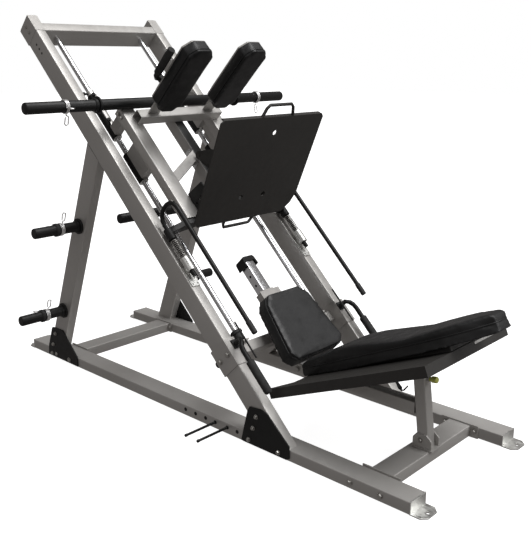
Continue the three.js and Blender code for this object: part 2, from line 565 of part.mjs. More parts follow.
function backSupport() {
  const lean = -Math.atan(COLUMN.lean);
  const { half, footY, inner } = COLUMN;
  const base = RAIL.height + GAP;
  const place = (geometry) => geometry.rotateX(lean).translate(0, footY, RAIL.height);
  const outer = place(tubeAlongZ(2 * half, 2 * half, 320, 3).translate(0, 0, -20));
  const below = block([-60, 60], [0, 400], [-60, base]);
  const z = 284;
  const pinHole = place(barAlongY(4.6, 0, [-60, 0], z, 16));
  const boss = place(barAlongY(11, 0, [-half - 10, 1 - half], z, 20));
  const flange = block([-36, 36], [footY - 45, footY + 45], [base, base + 6]);
  const earLine = [[-42, base + 5], [42, base + 5], [42, 92], [26, 112], [-18, 112], [-42, 92]].map(([y, h]) => [footY + 4 + y, h]);
  const ears = SIDES.map(([, side]) => plateYZ(earLine, across(side, half - 1, half + 6)));
  add(machine, 'front_column', SILVER, cut(weld(outer, boss, flange, ...ears), below, pinHole));

  // The insert carries a cross pin that rides in the slots of the tray's lugs.
  const insert = tubeAlongZ(2 * inner, 2 * inner, 300, 2.5).translate(0, 0, 60);
  const crossPin = barAlongX(6, [-36, 36], 0, COLUMN.crossPin, 20);
  add(machine, 'column_insert', CHROME, place(weld(insert, crossPin)));
  const group = new THREE.Group();
  group.position.set(0, footY, RAIL.height);
  group.rotation.x = lean;
  machine.add(group);
  pullPin(group, 'column_pull_pin', [0, -inner - 0.5, z], half + 10.5 - inner, Math.PI);
}

baseRails();
crossMember('front_cross_member', [140, 240], [103, 273]);
crossMember('rear_cross_member', [2068, 2168], [2050, 2186]);
beams();
rearPosts();
gussets();
crossTubes();
guideRods();
storagePegs();
seatHandles();
safetyStops();
carriageFrame();
bearingHousings();
loadBar();
shoulderPads();
footPlateAssembly();
seatRail();
seat();
backRest();
backSupport();

// The origin is on the floor, under the middle of the machine's length.
const whole = new THREE.Box3().setFromObject(machine, true);
machine.position.y = -(whole.min.y + whole.max.y) / 2;

export default machine;
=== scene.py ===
import json
import math

import bmesh
import bpy
from mathutils import Matrix, Vector


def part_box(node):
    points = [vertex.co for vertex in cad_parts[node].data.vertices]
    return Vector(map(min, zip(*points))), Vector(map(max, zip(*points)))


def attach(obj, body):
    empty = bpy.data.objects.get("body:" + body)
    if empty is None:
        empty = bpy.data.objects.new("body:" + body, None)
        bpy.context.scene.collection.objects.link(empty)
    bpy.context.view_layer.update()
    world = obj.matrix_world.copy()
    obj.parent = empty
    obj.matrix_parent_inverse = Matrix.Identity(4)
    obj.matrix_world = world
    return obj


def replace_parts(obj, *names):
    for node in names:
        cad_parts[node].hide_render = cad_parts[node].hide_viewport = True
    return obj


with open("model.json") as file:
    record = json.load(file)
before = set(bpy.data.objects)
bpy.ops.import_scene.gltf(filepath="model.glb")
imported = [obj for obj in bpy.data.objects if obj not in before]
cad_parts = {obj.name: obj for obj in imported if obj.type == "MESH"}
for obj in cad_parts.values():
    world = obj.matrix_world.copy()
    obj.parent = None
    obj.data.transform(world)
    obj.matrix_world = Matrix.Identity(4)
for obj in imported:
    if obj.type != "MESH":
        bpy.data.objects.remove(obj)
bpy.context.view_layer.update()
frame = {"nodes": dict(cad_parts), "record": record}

# ---------------------------------------------------------------- places
# Y0 is where the base rails start. Along the beams, (x, s, d) is across, up the slope and off it.
Y0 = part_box("base_rail_left")[0].y
SLOPE = Matrix.Translation((0, Y0, 0)) @ Matrix.Rotation(math.radians(45), 4, "X")
REST_LEAN = 0.3934
REST = Matrix.Translation((0, Y0 + 0.640, 0.246)) @ Matrix.Rotation(-REST_LEAN, 4, "X")
FLAT = Matrix.Translation((0, Y0, 0))
SIDES = (("left", -1), ("right", 1))
UP_SLOPE = SLOPE.to_3x3() @ Vector((0, 1, 0))
OFF_SLOPE = SLOPE.to_3x3() @ Vector((0, 0, 1))
BEAM_X, BEAM_D = 0.365, -0.4029          # middle of a main beam
ROD_X, ROD_D, ROD_RADIUS = 0.256, -0.4066, 0.0125
ROD_FROM, ROD_TO = 0.926, 2.6997
PAD_X = 0.167                            # middle of a shoulder pad
HOLE_Z = 0.030                           # height of the row of holes in the near rail
SADDLE_D = -0.386                        # where a bearing housing's barrel meets its saddle


def along_slope(x, s, d):
    """A frame at a point of the slope whose z axis runs up it."""
    return SLOPE @ Matrix.Translation((x, s, d)) @ Matrix.Rotation(math.radians(-90), 4, "X")


# ---------------------------------------------------------------- materials
def new_material(name, color, roughness, metallic=0.0, **inputs):
    mat = bpy.data.materials.new(name)
    mat.use_nodes = True
    shader = mat.node_tree.nodes["Principled BSDF"]
    shader.inputs["Base Color"].default_value = (*color, 1)
    shader.inputs["Roughness"].default_value = roughness
    shader.inputs["Metallic"].default_value = metallic
    for key, value in inputs.items():
        shader.inputs[key.replace("_", " ")].default_value = value
    return mat, mat.node_tree, shader


def node(tree, kind, **inputs):
    made = tree.nodes.new(kind)
    for key, value in inputs.items():
        made.inputs[key.replace("_", " ")].default_value = value
    return made


def noise(tree, scale, detail=3.0, stretch=None):
    place = tree.nodes.new("ShaderNodeTexCoord")
    out = place.outputs["Object"]
    if stretch:
        mapping = tree.nodes.new("ShaderNodeMapping")
        mapping.inputs["Scale"].default_value = stretch
        mapping.inputs["Rotation"].default_value = (math.radians(-45), 0, 0)
        tree.links.new(out, mapping.inputs["Vector"])
        out = mapping.outputs["Vector"]
    made = node(tree, "ShaderNodeTexNoise", Scale=scale, Detail=detail)
    tree.links.new(out, made.inputs["Vector"])
    return made.outputs["Fac"]


def ramp(tree, source, low, high, start=0.3, end=0.7):
    made = tree.nodes.new("ShaderNodeValToRGB")
    made.color_ramp.elements[0].position = start
    made.color_ramp.elements[1].position = end
    made.color_ramp.elements[0].color = (*low, 1)
    made.color_ramp.elements[1].color = (*high, 1)
    tree.links.new(source, made.inputs["Fac"])
    return made.outputs["Color"]


def grey(v):
    return (v, v, v)


def span(tree, source, low, high):
    made = tree.nodes.new("ShaderNodeMapRange")
    made.inputs["From Min"].default_value = 0.3
    made.inputs["From Max"].default_value = 0.7
    made.inputs["To Min"].default_value = low
    made.inputs["To Max"].default_value = high
    tree.links.new(source, made.inputs["Value"])
    return made.outputs["Result"]


def bump(tree, shader, source, strength, distance):
    made = node(tree, "ShaderNodeBump", Strength=strength, Distance=distance)
    tree.links.new(source, made.inputs["Height"])
    tree.links.new(made.outputs["Normal"], shader.inputs["Normal"])
    return made


def coated(name, low, high, roughness, metallic, peel, strength):
    """Powder coat or paint: a slow drift of tone, and the fine orange peel of the cured film."""
    mat, tree, shader = new_material(name, high, roughness, metallic)
    tree.links.new(ramp(tree, noise(tree, 2.6, 5), low, high), shader.inputs["Base Color"])
    drift = span(tree, noise(tree, 30, 4), roughness - 0.05, roughness + 0.07)
    tree.links.new(drift, shader.inputs["Roughness"])
    bump(tree, shader, noise(tree, peel, 2), strength, 0.0004)
    return mat


def polished(name, color, roughness, stretch=None):
    """Chrome or bright plate: almost a mirror, with faint polishing marks."""
    mat, tree, shader = new_material(name, color, roughness, 1.0)
    marks = noise(tree, 180, 4, stretch)
    tree.links.new(span(tree, marks, roughness * 0.7, roughness * 1.6), shader.inputs["Roughness"])
    bump(tree, shader, marks, 0.06, 0.0002)
    return mat


def vinyl_material():
    """Upholstery vinyl: small irregular cells pressed into a satin black skin, over slow dents."""
    mat, tree, shader = new_material("vinyl", (0.012, 0.012, 0.013), 0.46)
    shader.inputs["Specular IOR Level"].default_value = 0.42
    place = tree.nodes.new("ShaderNodeTexCoord")
    cells = node(tree, "ShaderNodeTexVoronoi", Scale=620)
    cells.feature = "DISTANCE_TO_EDGE"
    tree.links.new(place.outputs["Object"], cells.inputs["Vector"])
    grain = bump(tree, shader, cells.outputs["Distance"], 0.45, 0.0006)
    folds = node(tree, "ShaderNodeBump", Strength=0.35, Distance=0.004)
    tree.links.new(noise(tree, 14, 4), folds.inputs["Height"])
    tree.links.new(folds.outputs["Normal"], grain.inputs["Normal"])
    tone = ramp(tree, noise(tree, 7, 5), (0.0045, 0.0047, 0.005), (0.009, 0.0093, 0.010))
    tree.links.new(tone, shader.inputs["Base Color"])
    tree.links.new(span(tree, noise(tree, 22, 5), 0.40, 0.58), shader.inputs["Roughness"])
    return mat


def foam_material():
    """Closed-cell foam grips: matte, with open pores."""
    mat, tree, shader = new_material("foam", (0.014, 0.014, 0.014), 0.85)
    place = tree.nodes.new("ShaderNodeTexCoord")
    pores = node(tree, "ShaderNodeTexVoronoi", Scale=900)
    tree.links.new(place.outputs["Object"], pores.inputs["Vector"])
    bump(tree, shader, pores.outputs["Distance"], 0.6, 0.0006)
    tree.links.new(ramp(tree, noise(tree, 60, 4), grey(0.010), grey(0.022)), shader.inputs["Base Color"])
    return mat


SILVER = coated("silver_coat", (0.40, 0.388, 0.372), (0.46, 0.45, 0.435), 0.38, 0.45, 900, 0.18)
BLACK = coated("black_coat", (0.006, 0.006, 0.006), (0.010, 0.010, 0.010), 0.46, 0.0, 800, 0.22)
BLACK.node_tree.nodes["Principled BSDF"].inputs["Specular IOR Level"].default_value = 0.28
CHARCOAL = coated("charcoal_coat", (0.015, 0.0138, 0.0125), (0.022, 0.0205, 0.0185), 0.55, 0.0, 650, 0.5)
CHROME = polished("chrome", (0.74, 0.75, 0.77), 0.20)
WIRE = polished("clip_wire", (0.86, 0.86, 0.86), 0.34)
STEEL = polished("bolt_steel", (0.42, 0.41, 0.39), 0.32)
ZINC = polished("zinc", (0.70, 0.70, 0.68), 0.36, (1, 0.2, 1))
VINYL = vinyl_material()
FOAM = foam_material()
RUBBER = coated("rubber", grey(0.012), grey(0.02), 0.72, 0.0, 420, 0.4)
GRIP = coated("pin_grip", (0.50, 0.53, 0.10), (0.60, 0.62, 0.15), 0.42, 0.0, 300, 0.2)
HOLE = coated("hole_shadow", grey(0.010), grey(0.020), 0.85, 0.0, 300, 0.3)

MATERIAL_OF_SLOT = {
    "silver_paint": SILVER, "black_paint": BLACK, "charcoal_paint": CHARCOAL, "chrome": CHROME,
    "zinc_plate": ZINC, "black_vinyl": VINYL, "pin_grip": GRIP,
}
SLOT_OF_NODE = {part["node"]: part["material_slot"] for part in frame["record"]["subparts"]}
BODY_OF_NODE = {n: body for body, nodes in frame["record"]["behaviour"]["bodies"].items() for n in nodes}


# ---------------------------------------------------------------- mesh helpers
def to_object(name, bm, material, body, smooth_angle=35):
    mesh = bpy.data.meshes.new(name)
    bmesh.ops.recalc_face_normals(bm, faces=bm.faces)
    bm.to_mesh(mesh)
    bm.free()
    mesh.materials.append(material)
    mesh.polygons.foreach_set("use_smooth", [True] * len(mesh.polygons))
    mesh.set_sharp_from_angle(angle=math.radians(smooth_angle))
    obj = bpy.data.objects.new(name, mesh)
    bpy.context.collection.objects.link(obj)
    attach(obj, body)
    return obj


def frame_along(start, axis):
    """A matrix whose Z runs along axis, placed at start."""
    return Matrix.Translation(start) @ Vector(axis).to_track_quat("Z", "Y").to_matrix().to_4x4()


def lathe(bm, profile, place, segments=40):
    """Turns (radius, height) points about the local Z of place; radius 0 closes an end."""
    rings = []
    for radius, height in profile:
        if radius <= 1e-6:
            rings.append([bm.verts.new(place @ Vector((0, 0, height)))])
            continue
        rings.append([
            bm.verts.new(place @ Vector((radius * math.cos(t), radius * math.sin(t), height)))
            for t in (2 * math.pi * k / segments for k in range(segments))
        ])
    for a, b in zip(rings, rings[1:]):
        for k in range(segments):
            j = (k + 1) % segments
            if len(a) == 1:
                bm.faces.new((a[0], b[k], b[j]))
            elif len(b) == 1:
                bm.faces.new((a[k], b[0], a[j]))
            else:
                bm.faces.new((a[k], b[k], b[j], a[j]))


def ring(bm, outer, inner, start, end, place, segments=40, edge=0.001):
    """A turned ring with eased edges, hollow through its middle."""
    profile = [
        (inner, start), (outer - edge, start), (outer, start + edge), (outer, end - edge),
        (outer - edge, end), (inner, end), (inner, start),
    ]
    lathe(bm, profile, place, segments)
    bmesh.ops.remove_doubles(bm, verts=bm.verts, dist=1e-7)


def tube(bm, points, radius, sides=14, closed=False, capped=True):
    """A round bar through the points, with no twist between its sections."""
    count = len(points)
    normal = None
    rings = []
    for i, point in enumerate(points):
        before = points[i - 1] if (i or closed) else points[0]
        after = points[(i + 1) % count] if (i < count - 1 or closed) else points[-1]
        tangent = (after - before).normalized()
        if normal is None:
            normal = tangent.orthogonal().normalized()
        normal = (normal - tangent * normal.dot(tangent)).normalized()
        side = tangent.cross(normal)
        rings.append([
            bm.verts.new(point + (normal * math.cos(t) + side * math.sin(t)) * radius)
            for t in (2 * math.pi * k / sides for k in range(sides))
        ])
    pairs = list(zip(rings, rings[1:])) + ([(rings[-1], rings[0])] if closed else [])
    for a, b in pairs:
        for k in range(sides):
            j = (k + 1) % sides
            bm.faces.new((a[k], a[j], b[j], b[k]))
    if capped and not closed:
        bm.faces.new(rings[0][::-1])
        bm.faces.new(rings[-1])


def rounded_path(corners, bend, steps=8):
    """Straight runs joined by arcs, as points."""
    corners = [Vector(c) for c in corners]
    points = [corners[0]]
    for before, corner, after in zip(corners, corners[1:], corners[2:]):
        a, b = (before - corner).normalized(), (after - corner).normalized()
        half = a.angle(b) / 2
        reach = bend / math.tan(half)
        centre = corner + (a + b).normalized() * (bend / math.sin(half))
        first, last = corner + a * reach - centre, corner + b * reach - centre
        turn = first.rotation_difference(last)
        axis, angle = turn.to_axis_angle()
        for k in range(steps + 1):
            points.append(centre + Matrix.Rotation(angle * k / steps, 3, axis) @ first)
    points.append(corners[-1])
    return points


def densify(points, step):
    out = [points[0]]
    for a, b in zip(points, points[1:]):
        parts = max(1, int((b - a).length / step))
        out += [a.lerp(b, k / parts) for k in range(1, parts + 1)]
    return out


def hex_bolt(bm, at, axis, across=0.019, height=0.008, washer=0.0125, turn=0.2):
    """A washer and a chamfered hex head."""
    place = frame_along(at, axis) @ Matrix.Rotation(turn, 4, "Z")
    ease = washer - 0.0006
    lathe(bm, [(0, 0), (ease, 0), (washer, 0.0006), (washer, 0.0016), (ease, 0.0022), (0, 0.0022)], place, 28)
    corner = across / math.sqrt(3)
    levels = [(corner, 0.0022), (corner, height - 0.001), (across / 2 * 0.93, height + 0.0022)]
    rings = []
    for radius, z in levels:
        rings.append([
            bm.verts.new(place @ Vector((radius * math.cos(t), radius * math.sin(t), z)))
            for t in (math.pi * k / 3 for k in range(6))
        ])
    for a, b in zip(rings, rings[1:]):
        for k in range(6):
            bm.faces.new((a[k], a[(k + 1) % 6], b[(k + 1) % 6], b[k]))
    bm.faces.new(rings[-1])


def refine(name, width=0.0012, material=None, angle=35):
    """A finer copy of a CAD node: welded, with its sharp edges rounded, standing in for it."""
    source = frame["nodes"][name]
    bm = bmesh.new()
    bm.from_mesh(source.data)
    bmesh.ops.remove_doubles(bm, verts=bm.verts, dist=2e-6)
    bmesh.ops.dissolve_limit(
        bm, angle_limit=math.radians(0.6), use_dissolve_boundaries=False, verts=bm.verts, edges=bm.edges)
    obj = to_object(f"{name}.fine", bm, material or MATERIAL_OF_SLOT[SLOT_OF_NODE[name]],
                    BODY_OF_NODE[name], angle)
    if width:
        edges = obj.modifiers.new("edges", "BEVEL")
        edges.width = width
        edges.segments = 2
        edges.limit_method = "ANGLE"
        edges.angle_limit = math.radians(40)
        edges.harden_normals = True
        edges.use_clamp_overlap = True
    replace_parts(obj, name)
    return obj


# ---------------------------------------------------------------- cushions
def cushion(name, place, back_at, voxel, pressure, cap, seams):
    """Swells a CAD pad as vinyl over foam. back_at(local point) is true where the pad lies on its board."""
    source = frame["nodes"][name]
    mesh = source.data.copy()
    obj = bpy.data.objects.new(f"{name}.cushion", mesh)
    bpy.context.collection.objects.link(obj)
    bm = bmesh.new()
    bm.from_mesh(mesh)
    bmesh.ops.remove_doubles(bm, verts=bm.verts, dist=2e-6)
    bm.to_mesh(mesh)
    bm.free()
    bpy.context.view_layer.objects.active = obj
    remesh = obj.modifiers.new("remesh", "REMESH")
    remesh.mode = "VOXEL"
    remesh.voxel_size = voxel
    bpy.ops.object.modifier_apply(modifier="remesh")
    mesh = obj.data
    local = place.inverted()

    bm = bmesh.new()
    bm.from_mesh(mesh)
    free = [v for v in bm.verts if not back_at(local @ v.co)]
    for v in free:
        v.co -= v.normal * 0.003
    for _ in range(4):
        bmesh.ops.smooth_vert(bm, verts=free, factor=0.5, use_axis_x=True, use_axis_y=True, use_axis_z=True)
    bm.to_mesh(mesh)
    bm.free()

    start = [v.co.copy() for v in mesh.vertices]
    group = obj.vertex_groups.new(name="board")
    group.add([v.index for v in mesh.vertices if back_at(local @ v.co)], 1.0, "REPLACE")
    cloth = obj.modifiers.new("cloth", "CLOTH")
    cloth.settings.quality = 5
    cloth.settings.mass = 0.3
    cloth.settings.tension_stiffness = 40
    cloth.settings.compression_stiffness = 40
    cloth.settings.bending_stiffness = 12
    cloth.settings.use_pressure = True
    cloth.settings.uniform_pressure_force = pressure
    cloth.settings.vertex_group_mass = "board"
    cloth.settings.effector_weights.gravity = 0
    cloth.point_cache.frame_start = 1
    cloth.point_cache.frame_end = 20
    for step in range(1, 21):
        bpy.context.scene.frame_set(step)
    bpy.ops.object.modifier_apply(modifier="cloth")
    bpy.context.scene.frame_set(1)
    mesh = obj.data
    for v, was in zip(mesh.vertices, start):
        moved = v.co - was
        if moved.length > cap:
            v.co = was + moved * (cap / moved.length)
    bm = bmesh.new()
    bm.from_mesh(mesh)
    free = [v for v in bm.verts if not back_at(local @ v.co)]
    for _ in range(4):
        bmesh.ops.smooth_vert(bm, verts=free, factor=0.5, use_axis_x=True, use_axis_y=True, use_axis_z=True)
    bm.to_mesh(mesh)
    bm.free()

    # The seams: where each cutting plane meets the skin, the cover is sewn and its edge is corded.
    bm = bmesh.new()
    bm.from_mesh(mesh)
    loops = []
    for point, normal in seams:
        cut = bm.copy()
        world_point = place @ Vector(point)
        world_normal = (place.to_3x3() @ Vector(normal)).normalized()
        made = bmesh.ops.bisect_plane(
            cut, geom=cut.verts[:] + cut.edges[:] + cut.faces[:], plane_co=world_point, plane_no=world_normal)
        edges = [e for e in made["geom_cut"] if isinstance(e, bmesh.types.BMEdge)]
        loops.append(ordered_loop(edges))
        cut.free()
    for v in bm.verts:
        near = min((nearest_distance(v.co, loop) for loop in loops), default=1)
        if near < 0.012 and not back_at(local @ v.co):
            v.co -= v.normal * 0.0022 * (1 - near / 0.012)
    bm.to_mesh(mesh)
    bm.free()

    mesh.materials.clear()
    mesh.materials.append(VINYL)
    mesh.polygons.foreach_set("use_smooth", [True] * len(mesh.polygons))
    finer = obj.modifiers.new("finer", "SUBSURF")
    finer.levels = finer.render_levels = 1
    body = BODY_OF_NODE[name]
    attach(obj, body)
    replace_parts(obj, name)

    bm = bmesh.new()
    for loop in loops:
        points = smooth_loop(loop, 0.006)
        tube(bm, points, 0.0026, 10, closed=True)
    if loops:
        to_object(f"{name}.piping", bm, VINYL, body, 60)
    return obj


def ordered_loop(edges):
    """The points of the longest closed chain among the edges, in order."""
    after = {}
    for e in edges:
        a, b = e.verts
        after.setdefault(a, []).append(b)
        after.setdefault(b, []).append(a)
    best, seen = [], set()
    for start in after:
        if start in seen:
            continue
        chain, here, last = [start], start, None
        seen.add(start)
        while True:
            onward = [v for v in after[here] if v is not last and v not in seen]
            if not onward:
                break
            last, here = here, onward[0]
            seen.add(here)
            chain.append(here)
        if len(chain) > len(best):
            best = chain
    return [v.co.copy() for v in best]


def nearest_distance(point, loop):
    return min((point - p).length for p in loop[::3])


def smooth_loop(loop, step):
    """Evenly spaced points round the loop, eased so that a cord lies smoothly."""
    total = [0.0]
    closed = loop + [loop[0]]
    for a, b in zip(closed, closed[1:]):
        total.append(total[-1] + (b - a).length)
    count = max(12, int(total[-1] / step))
    out, k = [], 0
    for i in range(count):
        at = total[-1] * i / count
        while total[k + 1] < at:
            k += 1
        share = (at - total[k]) / max(1e-9, total[k + 1] - total[k])
        out.append(closed[k].lerp(closed[k + 1], share))
    for _ in range(6):
        out = [(out[i - 1] + out[i] * 2 + out[(i + 1) % count]) / 4 for i in range(count)]
    return out


# ---------------------------------------------------------------- round pieces made finer than the CAD
def guide_rods():
    """The two chrome rods, each with a rubber bumper at its foot."""
    for side, sign in SIDES:
        bm = bmesh.new()
        place = along_slope(sign * ROD_X, ROD_FROM, ROD_D)
        length, ease = ROD_TO - ROD_FROM, ROD_RADIUS - 0.001
        lathe(bm, [(0, 0), (ease, 0), (ROD_RADIUS, 0.001), (ROD_RADIUS, length - 0.001), (ease, length),
                   (0, length)], place, 48)
        rod = to_object(f"guide_rod_{side}.fine", bm, CHROME, "frame")
        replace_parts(rod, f"guide_rod_{side}")

        bm = bmesh.new()
        ring(bm, 0.023, 0.0127, 0.001, 0.034, place)
        ring(bm, 0.027, 0.0127, 0.034, 0.052, place, edge=0.004)
        to_object(f"rod_bumpers_{side}", bm, RUBBER, "frame")


def sleeve_bar(name, body, start, axis, length):
    """A plate sleeve: turned steel with eased ends, and a hub ring where it meets the post."""
    place = frame_along(start, axis)
    bm = bmesh.new()
    profile = [(0, 0), (0.036, 0), (0.038, 0.002), (0.038, 0.008), (0.036, 0.010),
               (0.0285, 0.0105), (0.0285, 0.022), (0.0255, 0.0235),
               (0.025, 0.026), (0.025, length - 0.006), (0.0235, length - 0.0025), (0.020, length), (0, length)]
    lathe(bm, profile, place, 56)
    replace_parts(to_object(f"{name}.fine", bm, BLACK, body), name)


def spring_clip(name, body, at, axis, radius, up=Vector((0, 0, 1)), spread=0.5):
    """A spring collar: nearly three turns of wire round the sleeve, ending in two narrow grip loops."""
    axis = Vector(axis).normalized()
    side = up.cross(axis).normalized()
    up = axis.cross(side).normalized()
    wire, gap = 0.0027, 0.0060
    hug = radius + wire + 0.0006
    points = []
    turns = 2.72
    steps = 90
    first = math.pi / 2 - spread / 2
    for k in range(steps + 1):
        t = first - turns * 2 * math.pi * k / steps
        along = (k / steps - 0.5) * gap * 3
        points.append(at + axis * along + (side * math.cos(t) + up * math.sin(t)) * hug)

    def ear(end, inward):
        base = points[0] if end == 0 else points[-1]
        out = (base - at - axis * (base - at).dot(axis)).normalized()
        tip = base + out * 0.050
        wide = axis * inward
        return [base + out * 0.010, base + out * 0.016 + wide * 0.012,
                tip + wide * 0.014, tip + out * 0.006 + wide * 0.004,
                tip - out * 0.002 - wide * 0.004, base + out * 0.018 - wide * 0.003]

    start_ear = rounded_path([points[0]] + ear(0, -1), 0.003, 4)
    end_ear = rounded_path([points[-1]] + ear(1, 1), 0.003, 4)
    bm = bmesh.new()
    tube(bm, start_ear[:0:-1] + points + end_ear[1:], wire, 10)
    to_object(name, bm, WIRE, body, 60)


def storage():
    for side, sign in SIDES:
        for level, z in (("lower", 0.285), ("upper", 0.750)):
            low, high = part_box(f"storage_peg_{level}_{side}")
            y, zz = (low.y + high.y) / 2, (low.z + high.z) / 2
            start = Vector((low.x if sign > 0 else high.x, y, zz))
            sleeve_bar(f"storage_peg_{level}_{side}", "frame", start, (sign, 0, 0), high.x - low.x)
            at = start + Vector((sign * 0.104, 0, 0))
            spring_clip(f"peg_clip_{level}_{side}", "frame", at, (sign, 0, 0), 0.025)
            bm = bmesh.new()
            ring(bm, 0.0315, 0.0252, 0.118, 0.136, frame_along(start, (sign, 0, 0)), edge=0.003)
            to_object(f"peg_collar_{level}_{side}", bm, RUBBER, "frame")
    low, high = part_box("inner_storage_bar")
    start = Vector((high.x, (low.y + high.y) / 2, (low.z + high.z) / 2))
    sleeve_bar("inner_storage_bar", "frame", start, (-1, 0, 0), high.x - low.x)


def load_bar():
    low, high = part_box("load_bar")
    centre = (low + high) / 2
    bm = bmesh.new()
    half = high.x
    place = frame_along(Vector((-half, centre.y, centre.z)), (1, 0, 0))
    length = 2 * half
    profile = [(0, 0), (0.019, 0), (0.0225, 0.002), (0.025, 0.006),
               (0.025, length - 0.006), (0.0225, length - 0.002), (0.019, length), (0, length)]
    lathe(bm, profile, place, 56)
    bar = to_object("load_bar.fine", bm, BLACK, "carriage")
    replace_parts(bar, "load_bar")
    for side, sign in SIDES:
        at = Vector((sign * 0.585, centre.y, centre.z))
        spring_clip(f"load_clip_{side}", "carriage", at, (sign, 0, 0), 0.025, up=Vector((0, 0, -1)))
        bm = bmesh.new()
        stop = frame_along(Vector((sign * 0.415, centre.y, centre.z)), (sign, 0, 0))
        ring(bm, 0.038, 0.0252, 0.0, 0.010, stop, edge=0.002)
        ring(bm, 0.0295, 0.0252, 0.010, 0.026, stop, edge=0.002)
        to_object(f"load_flange_{side}", bm, BLACK, "carriage")


def levers():
    """The stop levers with their grips, and the coil springs that turn them back."""
    for side, sign in SIDES:
        name = f"stop_lever_{side}"
        refine(name, 0.0006, angle=50)
        x = sign * 0.364
        bm = bmesh.new()
        low = SLOPE @ Vector((x, 0.872, -0.1987))
        ring(bm, 0.0122, 0.0099, 0.0, 0.060, frame_along(low, UP_SLOPE), edge=0.003)
        to_object(f"lever_grip_{side}", bm, RUBBER, name)
        bm = bmesh.new()
        turns, steps = 11, 220
        points = []
        for k in range(steps + 1):
            t = turns * 2 * math.pi * k / steps
            across, off = 0.0150 * math.cos(t), 0.0150 * math.sin(t)
            points.append(SLOPE @ Vector((x + across, 1.336 + 0.090 * k / steps, -0.3246 + off)))
        tube(bm, points, 0.0018, 8)
        to_object(f"lever_spring_{side}", bm, STEEL, "frame", 60)


def handles():
    """Hand grips beside the seat and behind the shoulder pads, with foam over the bent rod."""
    for side, sign in SIDES:
        refine(f"seat_handle_{side}", 0.0006, angle=50)
        bm = bmesh.new()
        start = SLOPE @ Vector((sign * 0.380, 0.652, -0.2934))
        lathe(bm, [(0, -0.002), (0.012, -0.002), (0.0160, 0.002), (0.0175, 0.008), (0.0175, 0.142),
                   (0.0160, 0.149), (0.0112, 0.151)], frame_along(start, UP_SLOPE), 36)
        to_object(f"seat_grip_{side}", bm, FOAM, "frame")

        refine(f"shoulder_handle_{side}", 0.0006, angle=50)
        x = sign * (PAD_X + 0.095)
        bm = bmesh.new()
        start = SLOPE @ Vector((x, 2.050, 0.026))
        lathe(bm, [(0.0122, 0), (0.016, 0.001), (0.0172, 0.005), (0.0172, 0.134), (0.016, 0.1385),
                   (0, 0.1395)], frame_along(start, OFF_SLOPE), 36)
        to_object(f"shoulder_grip_{side}", bm, FOAM, "carriage")


# ---------------------------------------------------------------- fasteners and trim
GUSSET_BOLTS = ((0.724, 0.137), (0.767, 0.023), (0.604, 0.023), (0.742, 0.082),
                (2.170, 0.140), (2.197, 0.075), (2.213, 0.023), (2.054, 0.024))


def bolts():
    """Hex bolts: those on the frame are one piece, and those on the carriage another."""
    small = {"across": 0.016, "height": 0.006, "washer": 0.0105}
    slim = {"across": 0.015, "height": 0.006, "washer": 0.010}
    bm = bmesh.new()
    for side, sign in SIDES:
        out = (sign, 0, 0)
        for y, z in GUSSET_BOLTS:
            hex_bolt(bm, FLAT @ Vector((sign * 0.3963, y, z)), out, turn=y, **small)
        for y in (0.122, 0.256, 2.060, 2.176):
            hex_bolt(bm, FLAT @ Vector((sign * 0.390, y, 0.026)), out, turn=y * 3)
            hex_bolt(bm, FLAT @ Vector((sign * 0.2837, y, 0.030)), (-sign, 0, 0), turn=y * 2)
        for s in (2.735, 2.770):
            hex_bolt(bm, SLOPE @ Vector((sign * 0.3918, s, -0.403)), out, 0.013, 0.004, 0.008, turn=s)
        for d in (-0.434, -0.372):
            hex_bolt(bm, SLOPE @ Vector((sign * 0.3944, 0.880, d)), out, turn=d)
    hex_bolt(bm, FLAT @ Vector((-0.025, 0.823, 0.207)), (-1, 0, 0))
    for side, sign in SIDES:
        hex_bolt(bm, FLAT @ Vector((sign * 0.0312, 0.186, 0.086)), (sign, 0, 0), 0.015, 0.006, 0.011)
    to_object("frame_bolts", bm, STEEL, "frame", 30)

    bm = bmesh.new()
    for side, sign in SIDES:
        for s in (1.545, 1.590, 2.075, 2.098):
            hex_bolt(bm, SLOPE @ Vector((sign * 0.288, s, -0.281)), (sign, 0, 0), turn=s, **slim)
        for dx in (-0.020, 0.020):
            at = SLOPE @ Vector((sign * PAD_X + dx, 2.0353, -0.105))
            hex_bolt(bm, at, UP_SLOPE, across=0.013, height=0.005, washer=0.009)
    to_object("carriage_bolts", bm, STEEL, "carriage", 30)


